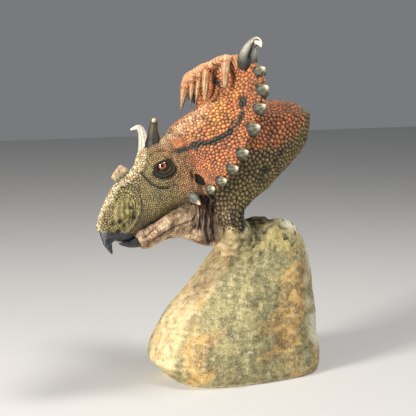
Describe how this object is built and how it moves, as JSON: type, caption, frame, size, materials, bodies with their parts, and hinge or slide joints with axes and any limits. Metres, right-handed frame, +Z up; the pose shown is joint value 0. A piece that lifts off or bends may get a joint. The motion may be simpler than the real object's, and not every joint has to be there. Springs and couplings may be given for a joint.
{
  "type": "horned dinosaur display bust",
  "caption": "Painted resin display bust of a horned, frilled dinosaur: hooked beak, brow horns, scaly frill edged with studs and hooks, and a thick neck on a rock-shaped base.",
  "frame": {"origin": "centre of the base's flat underside, on the surface it stands on", "axes": "+Z up, the animal looks towards -X, and its left side faces -Y"},
  "size_m": [0.243, 0.1671, 0.3348],
  "materials": {
    "green_skin": "matt painted resin, olive scales with a dark wash",
    "orange_skin": "matt painted resin, orange scales with grey bands",
    "throat_skin": "matt painted resin, pale pinkish cream",
    "painted_rock": "matt painted resin, blotched olive, ochre and grey",
    "horn": "satin painted resin, dark at the root and cream at the tip",
    "beak": "satin blue-black painted resin",
    "eye": "clear-coated painted resin, orange-red with a black pupil"
  },
  "bodies": {
    "root": {"beak_lower": "beak", "beak_upper": "beak", "brow_horn_left": "horn", "brow_horn_right": "horn", "cheek_horn_left": "horn", "cheek_horn_right": "horn", "corner_horn_left": "horn", "corner_horn_right": "horn", "eye_left": "eye", "eye_right": "eye", "frill": "orange_skin", "head": "green_skin", "lower_jaw": "throat_skin", "neck": "green_skin", "nose_horn": "horn", "stand_rock": "painted_rock"}
  },
  "joints": []
}
